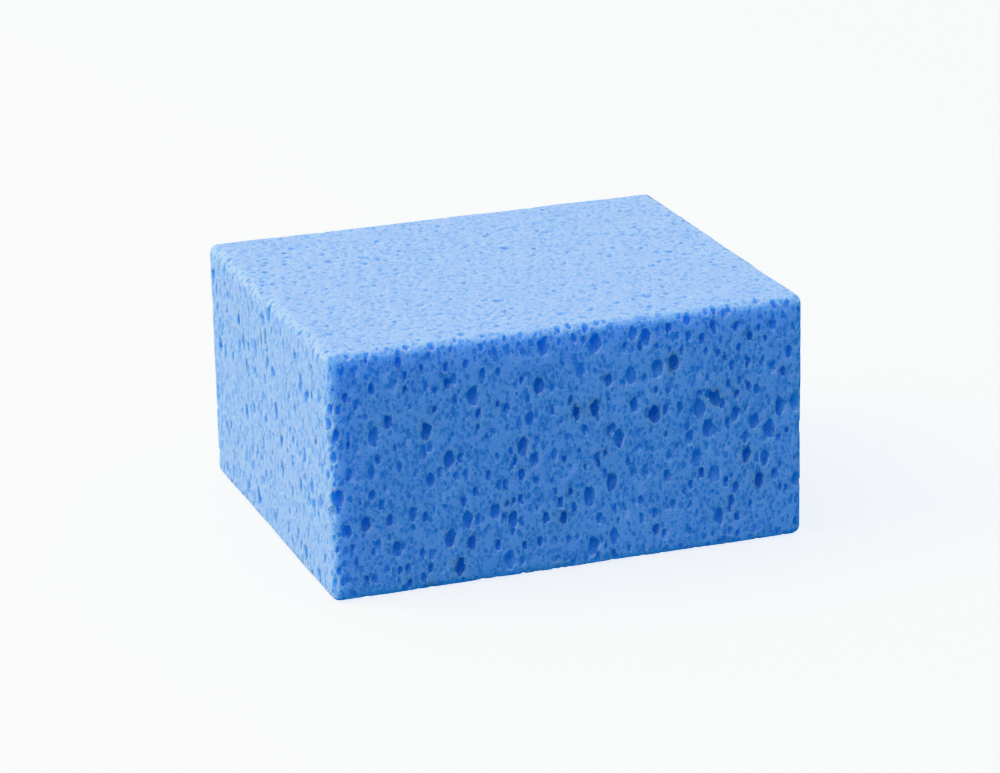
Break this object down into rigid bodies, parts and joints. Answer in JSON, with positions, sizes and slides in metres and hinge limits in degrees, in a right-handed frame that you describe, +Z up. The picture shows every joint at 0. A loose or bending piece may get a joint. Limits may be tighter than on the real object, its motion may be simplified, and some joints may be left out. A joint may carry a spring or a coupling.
{
  "type": "applicator sponge",
  "caption": "Rectangular block of soft blue open-cell foam with softened edges and open pores on every face.",
  "frame": {"origin": "middle of the face that the block lies on", "axes": "+X along the length, +Y along the depth away from the front, +Z up through the thickness, the way the foam rose"},
  "size_m": [0.1, 0.083, 0.051],
  "materials": {
    "foam": "dull, soft open-cell foam"
  },
  "bodies": {
    "root": {"foam_block": "foam"}
  },
  "joints": []
}
